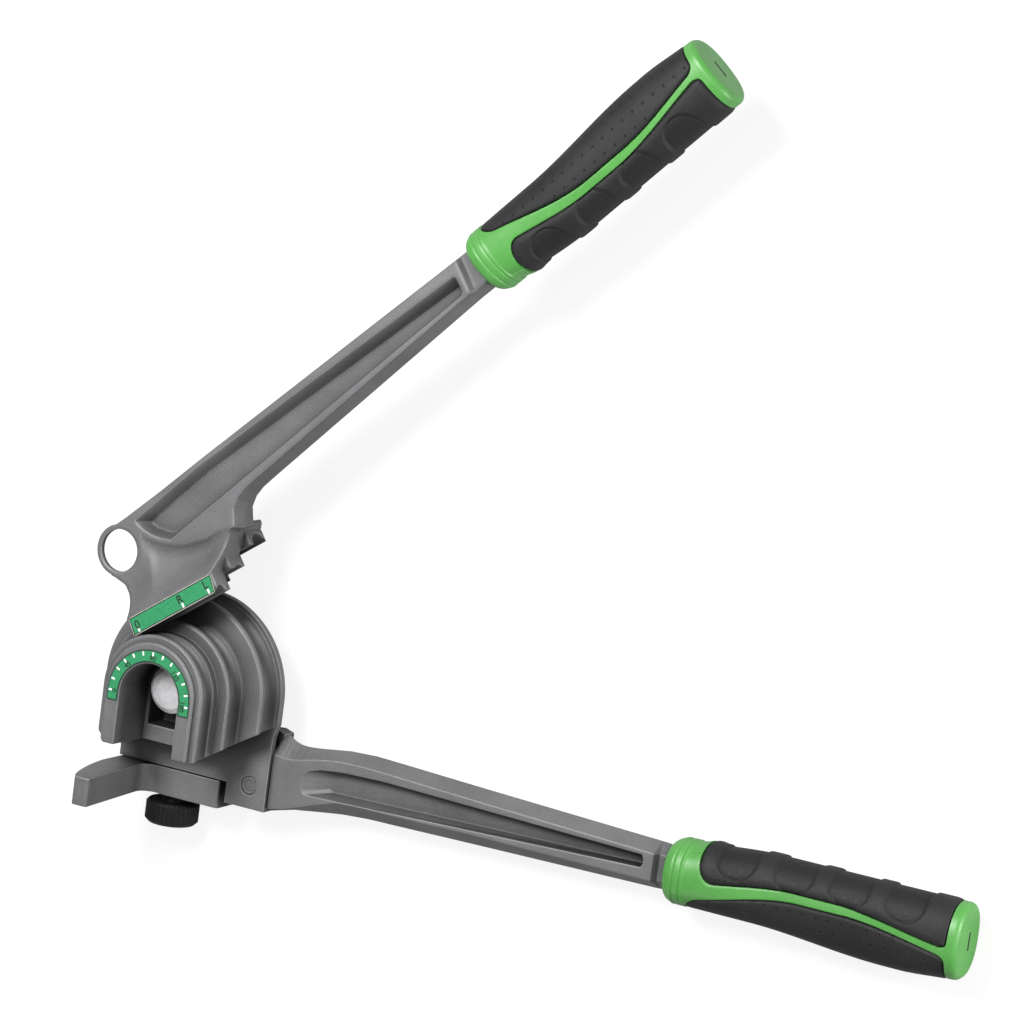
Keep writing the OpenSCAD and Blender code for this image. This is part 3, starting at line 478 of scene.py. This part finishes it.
# Stations along the core: place, rounding, and whether the finger and palm beds are sunk there
def coreStations():
    soft, endSoft, step = grip["soft"], grip["endSoft"], bed["step"]
    quarter = [k * math.pi / 16 for k in range(9)]
    rows = [(0.0, grip["frontHole"], False, False), (0.0, grip["frontFlat"], False, False)]
    rows += [(soft * (1 - math.cos(a)), soft * (1 - math.sin(a)), False, False) for a in quarter]
    x = soft + 0.25
    while x < grip["palmStart"]:
        rows.append((x, 0.0, False, False))
        x += 0.25
    rows.append((grip["palmStart"], 0.0, False, False))
    x = grip["palmStart"] + step
    while x < grip["collar"]:
        rows.append((x, 0.0, False, True))
        x += 0.45
    rows.append((grip["collar"], 0.0, False, True))
    x = grip["collar"] + step
    while x < capAt - step:
        rows.append((x, 0.0, True, True))
        x += 0.35 if x < grip["collar"] + 5 or x > capAt - 5 else 1.2
    rows.append((capAt - step, 0.0, True, True))
    rows += [(capAt + k * (grip["cap"] - endSoft) / 6, 0.0, False, False) for k in range(7)]
    rows += [(gripLen - endSoft * (1 - math.sin(a)), endSoft * (1 - math.cos(a)), False, False)
             for a in quarter[1:]]
    rows += [(gripLen, grip["endFlat"], False, False), (gripLen, grip["endHole"], False, False)]
    return rows


# Columns round the core: which bed they lie on, and where between its edges
bedSteps, stripeSteps = 22, 11
coreColumns = [(kind, k / steps) for kind, steps in (("finger", bedSteps), ("stripe", stripeSteps),
                                                     ("palm", bedSteps), ("back", stripeSteps))
               for k in range(steps + 1)] + [("finger", 0.0)]


def corePoint(station, column):
    x, roundIn, fingerBed, palmBed = station
    kind, u = column
    a, b, draft = fingerEdge(x), palmEdge(x), math.radians(bed["draft"])
    inset = roundIn + collarInset(x)
    if kind == "finger":
        angle = -a + draft + (2 * a - 2 * draft) * u
        inset += bed["deep"] if fingerBed else 0.0
    elif kind == "palm":
        angle = b + draft + (2 * math.pi - 2 * b - 2 * draft) * u
        inset += bed["deep"] if palmBed else 0.0
    else:
        angle = (a if kind == "stripe" else 2 * math.pi - b) + (b - a) * u
        if (fingerBed or palmBed) and u in (0.0, 1.0):
            inset += bed["stripeRound"]
    return gripPoint(x, angle, inset)


def makeCore(name, place):
    stations = coreStations()
    cols, rows = len(stations) - 1, len(coreColumns) - 1

    def lay(s, t):
        return (place @ corePoint(stations[round(s * cols)], coreColumns[round(t * rows)])) * mm

    core = laidGrid(name, cols, rows, lay)
    pick(core)
    bpy.ops.object.mode_set(mode="EDIT")
    bpy.ops.mesh.select_all(action="SELECT")
    bpy.ops.mesh.remove_doubles(threshold=0.000002)
    bpy.ops.mesh.select_all(action="SELECT")
    bpy.ops.mesh.fill_holes(sides=0)
    bpy.ops.mesh.select_all(action="SELECT")
    bpy.ops.mesh.normals_make_consistent(inside=False)
    bpy.ops.object.mode_set(mode="OBJECT")
    return core


# Slot-shaped finger rests sunk across the finger side, each with a fine line inside its rim
def restDepth(x, angle):
    past = max(0.0, abs(angle) * grip["skinRadius"] - rest["reach"])
    depth = 0.0
    for at in rest["at"]:
        far = math.hypot(x - at, past)
        depth += rest["deep"] * blendIn(rest["radius"] + rest["edge"] / 2 - far, 0, rest["edge"])
        depth += rest["rimDeep"] * math.exp(-((far - rest["radius"] + rest["rimIn"]) / rest["rimWide"]) ** 2)
    return depth


def closerAtEnds(s):
    return s - 0.8 * math.sin(2 * math.pi * s) / (2 * math.pi)


def padPoint(kind, s, t):
    start = grip["collar"] if kind == "finger" else grip["palmStart"]
    x0, x1 = start + bed["endGap"], capAt - bed["endGap"]
    x = x0 + (x1 - x0) * closerAtEnds(s)
    across = closerAtEnds(t)
    gap = math.radians(bed["sideGap"])
    if kind == "finger":
        half = fingerEdge(x) - gap
        angle = -half + 2 * half * across
        toSide = (half - abs(angle)) * grip["skinRadius"]
    else:
        half = math.pi - palmEdge(x) - gap
        angle = math.pi - half + 2 * half * across
        toSide = (half - abs(angle - math.pi)) * pad["palmRadius"]
    toEdge = min(x - x0, x1 - x, toSide)
    inset = pad["edgeSink"] * cornerCut(toEdge, pad["edgeRound"]) - pad["proud"]
    if kind == "finger":
        inset += restDepth(x, angle) - pad["ribRise"] * blendIn(toEdge, 0, 2 * pad["edgeRound"])
    return x, angle, inset


def makePad(name, kind, place):
    cols, rows = pad["grid"][kind]
    spots = {}

    def lay(s, t):
        x, angle, inset = padPoint(kind, s, t)
        spots[(round(s * cols), round(t * rows))] = (x * mm, angle * grip["skinRadius"] * mm)
        return (place @ gripPoint(x, angle, inset)) * mm

    skin = laidGrid(name, cols, rows, lay)
    layer = skin.data.uv_layers.active or skin.data.uv_layers.new(name="skin")
    for loop in layer.data:  # the grid's own map still holds s and t
        s, t = loop.uv
        loop.uv = spots[(round(s * cols), round(t * rows))]
    outwardNormals(skin)
    axisPoint = (place @ Vector((gripLen / 2, 0, 0))) * mm
    middle = skin.data.polygons[len(skin.data.polygons) // 2]
    if middle.normal.dot(middle.center - axisPoint) < 0:
        pick(skin)
        bpy.ops.object.mode_set(mode="EDIT")
        bpy.ops.mesh.select_all(action="SELECT")
        bpy.ops.mesh.flip_normals()
        bpy.ops.object.mode_set(mode="OBJECT")
    wall = skin.modifiers.new("wall", "SOLIDIFY")
    wall.thickness = pad["wall"] * mm
    wall.offset = -1
    applyModifiers(skin)
    return skin


def makeSlit(name, place):
    clearSelection()
    bpy.ops.mesh.primitive_cube_add(size=1)
    slit = bpy.context.object
    slit.name = name
    for v in slit.data.vertices:
        v.co = Vector((gripLen + v.co.x * capSlitShade["deep"], capSlitShade["off"] + v.co.y * capSlitShade["tall"],
                       v.co.z * capSlitShade["wide"]))
    pick(slit)
    bpy.ops.object.mode_set(mode="EDIT")
    bpy.ops.mesh.select_all(action="SELECT")
    bpy.ops.mesh.bevel(offset=capSlitShade["soft"], segments=2, affect="EDGES")
    bpy.ops.object.mode_set(mode="OBJECT")
    slit.data.transform(Matrix.Scale(mm, 4) @ place)
    outwardNormals(slit)
    return slit


for side, body, place in (("lower", "lower_frame", lowerPlace), ("upper", "bending_lever", upperPlace)):
    core = finishPiece(makeCore(side + "GripCore", place), body, gripGreen, 40)
    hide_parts(side + "_grip_core")
    fingerPad = makePad(side + "FingerPad", "finger", place)
    finishPiece(fingerPad, body, fingerRubber, 60)
    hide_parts(side + "_finger_pad")
    palmPad = makePad(side + "PalmPad", "palm", place)
    finishPiece(palmPad, body, palmRubber, 60)
    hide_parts(side + "_palm_pad")
    # The cap's slit is a flush black plastic patch: painted shade
    finishPiece(makeSlit(side + "CapSlitShade", place), body, blackPlastic, 40)
print("grips made")


# Printed marks on the two scales

angleMarks = {"centre": (0.0, -1.9), "z": 60.3, "tickFrom": 17.35, "tickTo": 19.05, "tickWide": 0.75,
              "tickEvery": 15, "numberEvery": 45, "numberAt": 16.3, "numberSize": 3.0, "bold": 0.05,
              "border": 0.32, "inner": 14.8, "outer": 19.6, "tail": 4.0}
shoeMarks = {"corners": ((1.6, 24.3), (44.8, 24.3), (46.0, 31.8), (2.1, 31.8)), "z": 55.8,
             # rim is the width of the pale line round the label, a painted highlight on the edge of its
             # recess
             "border": 0.4, "borderShift": -0.45, "rim": 0.35, "rimHighlightShift": -0.15,
             "letters": (("0", 5.0, 27.8), ("R", 28.2, 28.5), ("L", 41.8, 28.8)),
             "letterSize": 4.9, "bold": 0.06,
             "ticks": (4.9, 28.6, 42.2), "tickFrom": 24.9, "tickTo": 26.9, "tickWide": 0.85}
ink = {"thick": 0.05, "tickRound": 0.2, "lineLift": 0.02}


def flatTick(marks, place):
    clearSelection()
    bpy.ops.mesh.primitive_plane_add(size=1)
    tick = bpy.context.object
    for v in tick.data.vertices:
        v.co = Vector((v.co.x * marks["tickWide"], v.co.y * (marks["tickTo"] - marks["tickFrom"]), 0))
    pick(tick)
    bpy.ops.object.mode_set(mode="EDIT")
    bpy.ops.mesh.select_all(action="SELECT")
    bpy.ops.mesh.bevel(offset=ink["tickRound"], segments=3, affect="VERTICES")
    bpy.ops.mesh.select_all(action="SELECT")
    bpy.ops.mesh.extrude_region_move(TRANSFORM_OT_translate={"value": (0, 0, ink["thick"])})
    bpy.ops.object.mode_set(mode="OBJECT")
    tick.data.transform(Matrix.Scale(mm, 4) @ place)
    return tick


def joined(name, pieces):
    pick(*pieces)
    if len(pieces) > 1:
        bpy.ops.object.join()
    piece = bpy.context.object
    piece.name = name
    piece.data.name = name
    outwardNormals(piece)
    return piece


def letter(word, size, bold, place):
    clearSelection()
    bpy.ops.object.text_add()
    text = bpy.context.object
    text.data.body = word
    text.data.size = size
    text.data.align_x = "CENTER"
    text.data.align_y = "CENTER"
    text.data.extrude = ink["thick"] / 2
    text.data.offset = bold
    text.data.resolution_u = 4
    pick(text)
    bpy.ops.object.convert(target="MESH")
    text = bpy.context.object
    text.data.transform(Matrix.Scale(mm, 4) @ place)
    return text


# Ribbon along a row of points, as wide as width says
def ribbon(name, points, width, z, thick):
    count = len(points)

    def lay(s, t):
        k = round(s * (count - 1))
        before, after = points[max(0, k - 1)], points[min(count - 1, k + 1)]
        along = (Vector(after) - Vector(before)).normalized()
        side = Vector((-along.y, along.x))
        p = Vector(points[k]) + side * (t - 0.5) * width
        return Vector((p.x, p.y, z)) * mm

    strip = laidGrid(name, count - 1, 1, lay)
    outwardNormals(strip)
    wall = strip.modifiers.new("wall", "SOLIDIFY")
    wall.thickness = thick * mm
    wall.offset = 0
    applyModifiers(strip)
    return strip


cx, cy = angleMarks["centre"]


# Place on the angle scale, turned so that a mark's top points outwards
def scalePlace(value, r, z):
    turn = math.radians(180 - value)
    at = Matrix.Translation((cx + r * math.cos(turn), cy + r * math.sin(turn), z))
    return at @ Matrix.Rotation(turn - math.pi / 2, 4, "Z")


tickMiddle = (angleMarks["tickFrom"] + angleMarks["tickTo"]) / 2
ticks = [flatTick(angleMarks, scalePlace(value, tickMiddle, angleMarks["z"]))
         for value in range(0, 181, angleMarks["tickEvery"])]
finishPiece(joined("angleTicks", ticks), "lower_frame", whiteInk)

numberZ = angleMarks["z"] + ink["thick"] / 2
numbers = [letter(str(value), angleMarks["numberSize"], angleMarks["bold"],
                  scalePlace(value, angleMarks["numberAt"], numberZ))
           for value in range(0, 181, angleMarks["numberEvery"])]
finishPiece(joined("angleNumbers", numbers), "lower_frame", darkInk)


# One line of the horseshoe: up one tail, over the arc and down the other, from the left with way 1
def horseshoeLine(r, low, way):
    arc = [math.radians(180 - 4 * k) for k in range(46)]
    line = [(cx - way * r, low + (cy - low) * k / 4) for k in range(5)]
    line += [(cx + r * math.cos(a), cy + r * math.sin(a)) for a in arc[::way]]
    return line + [(cx + way * r, cy + (low - cy) * k / 4) for k in range(1, 5)]


# Outlines of the horseshoe, set in by half the border; the inner one runs from right to left
def horseshoe(inset):
    low = cy - angleMarks["tail"] + inset
    outer = horseshoeLine(angleMarks["outer"] - inset, low, 1)
    return outer, horseshoeLine(angleMarks["inner"] + inset, low, -1)


def angleLine(name, points):
    return ribbon(name, points, angleMarks["border"], angleMarks["z"] + ink["lineLift"], ink["thick"])


outer, inner = horseshoe(angleMarks["border"] / 2)
edges = [angleLine("borderOut", outer), angleLine("borderIn", inner),
         angleLine("borderLeft", [outer[0], inner[-1]]), angleLine("borderRight", [outer[-1], inner[0]])]
finishPiece(joined("angleBorder", edges), "lower_frame", darkInk)


def shoePlace(along, up, z):
    return turned(swing) @ Matrix.Translation((along, up, z))


tickUp = (shoeMarks["tickFrom"] + shoeMarks["tickTo"]) / 2
ticks = [flatTick(shoeMarks, shoePlace(at, tickUp, shoeMarks["z"])) for at in shoeMarks["ticks"]]
finishPiece(joined("shoeTicks", ticks), "bending_lever", whiteInk)
letterZ = shoeMarks["z"] + ink["thick"] / 2
words = [letter(word, shoeMarks["letterSize"], shoeMarks["bold"], shoePlace(along, up, letterZ))
         for word, along, up in shoeMarks["letters"]]
finishPiece(joined("shoeLetters", words), "bending_lever", darkInk)


# Lines round the shoe's label, moved outwards by shift from its edge, inwards if it is below 0
def labelLines(name, width, shift):
    corners = [Vector(c) for c in shoeMarks["corners"]]
    middle = sum(corners, Vector((0, 0))) / 4
    spots = [c + shift * Vector((math.copysign(1, c.x - middle.x), math.copysign(1, c.y - middle.y)))
             for c in corners]
    lines = []
    for p, q in zip(spots, spots[1:] + spots[:1]):
        reach = (q - p).normalized() * width / 2
        ends = [tuple((turned(swing) @ c.to_3d())[:2]) for c in (p - reach, q + reach)]
        lines.append(ribbon("labelLine", ends, width, shoeMarks["z"] + ink["lineLift"], ink["thick"]))
    return joined(name, lines)


shoeBorder = labelLines("shoeBorder", shoeMarks["border"], shoeMarks["borderShift"])
finishPiece(shoeBorder, "bending_lever", darkInk)
# Pale line round the outside of the label: painted highlight on the rim of its recess
shoeRimHighlight = labelLines("shoeRimHighlight", shoeMarks["rim"], shoeMarks["rimHighlightShift"])
finishPiece(shoeRimHighlight, "bending_lever", paintedRimHighlight)
print("marks made")


# Open ring on the end of the locating dowel
dowel = {"at": (29.6, -36.5, 22.2), "radius": 3.0, "wide": 1.0, "lift": 0.1, "thick": 0.24, "open": 80}
dowelX, dowelY, dowelZ = dowel["at"]
ringPoints = []
for k in range(29):
    a = math.radians(dowel["open"] / 2 + (360 - dowel["open"]) * k / 28)
    ringPoints.append((dowelX + dowel["radius"] * math.cos(a), dowelY + dowel["radius"] * math.sin(a)))
dowelRing = ribbon("dowelRing", ringPoints, dowel["wide"], dowelZ + dowel["lift"], dowel["thick"])
finishPiece(dowelRing, "lower_frame", castGrey, 40)
print("dowel ring made")


# Camera, light and floor

photoView = {"at": (0.68988, 0.26447, 1.14223), "turn": (-3.687, 27.264, 8.741),
             "lens": 113.6475, "sensor": 36}
camera = bpy.data.objects.new("photoCamera", bpy.data.cameras.new("photoCamera"))
bpy.context.scene.collection.objects.link(camera)
camera.location = photoView["at"]
camera.rotation_euler = [math.radians(a) for a in photoView["turn"]]
camera.data.lens = photoView["lens"]
camera.data.sensor_width = photoView["sensor"]
camera.data.sensor_fit = "HORIZONTAL"
bpy.context.scene.camera = camera

# Lamps as place, width and power
lamps = {"key": ((0.0, 0.5, 0.8), 0.36, 11.6), "front": ((0.6, 0.3, 1.35), 0.7, 3.0),
         "rim": ((-0.3, -0.8, 0.5), 0.5, 1.4), "side": ((0.75, 0.1, 0.14), 0.2, 2.8)}
aim = Vector((0.13, 0.03, 0.03))
for lampName, (at, size, power) in lamps.items():
    lamp = bpy.data.objects.new(lampName + "Lamp", bpy.data.lights.new(lampName + "Lamp", "AREA"))
    bpy.context.scene.collection.objects.link(lamp)
    lamp.data.shape = "DISK"
    lamp.data.size = size
    lamp.data.energy = power
    lamp.location = at
    lamp.rotation_euler = (aim - Vector(at)).to_track_quat("-Z", "Y").to_euler()


# 1 where the eye looks straight at a surface, also through clear ones
def seenDirectly(tree):
    path = tree.nodes.new("ShaderNodeLightPath")
    return mathOf(tree, "MAXIMUM", path.outputs["Is Camera Ray"], path.outputs["Is Transmission Ray"])


def mixShader(tree, factor, a, b):
    node = tree.nodes.new("ShaderNodeMixShader")
    for socket, source in enumerate((factor, a, b)):
        tree.links.new(source, node.inputs[socket])
    return node.outputs[0]


white = (1, 1, 1, 1)
worldLook = {"seen": 1.0, "lit": 0.17}
floorLook = {"size": 8, "below": 0.0005, "plain": (0.45, 0.45, 0.45, 1),
             "shaded": (0.16, 0.16, 0.16, 1), "glow": 0.86}

world = bpy.data.worlds.new("studio")
bpy.context.scene.world = world
world.use_nodes = True
tree = world.node_tree
tree.nodes.clear()
out = tree.nodes.new("ShaderNodeOutputWorld")
seen = addNode(tree, "ShaderNodeBackground", Color=white, Strength=worldLook["seen"])
lit = addNode(tree, "ShaderNodeBackground", Color=white, Strength=worldLook["lit"])
tree.links.new(mixShader(tree, seenDirectly(tree), lit.outputs[0], seen.outputs[0]), out.inputs[0])

clearSelection()
bpy.ops.mesh.primitive_plane_add(size=floorLook["size"], location=(0, 0, -floorLook["below"]))
floor = bpy.context.object
floor.name = "paleFloor"
bpy.ops.object.transform_apply(location=True, rotation=True, scale=True)
paleFloor = bpy.data.materials.new("paleFloor")
paleFloor.use_nodes = True
tree = paleFloor.node_tree
tree.nodes.clear()
out = tree.nodes.new("ShaderNodeOutputMaterial")
plain = addNode(tree, "ShaderNodeBsdfDiffuse", Color=floorLook["plain"])
shaded = addNode(tree, "ShaderNodeBsdfDiffuse", Color=floorLook["shaded"])
glow = addNode(tree, "ShaderNodeEmission", Color=white, Strength=floorLook["glow"])
both = tree.nodes.new("ShaderNodeAddShader")
tree.links.new(shaded.outputs[0], both.inputs[0])
tree.links.new(glow.outputs[0], both.inputs[1])
top = mixShader(tree, seenDirectly(tree), plain.outputs[0], both.outputs[0])
facing = tree.nodes.new("ShaderNodeNewGeometry")
clear = tree.nodes.new("ShaderNodeBsdfTransparent")  # nothing is seen of the floor from below
tree.links.new(mixShader(tree, facing.outputs["Backfacing"], top, clear.outputs[0]), out.inputs[0])
floor.data.materials.append(paleFloor)
bpy.context.scene.view_settings.view_transform = "Standard"
print("camera, lamps and floor set")
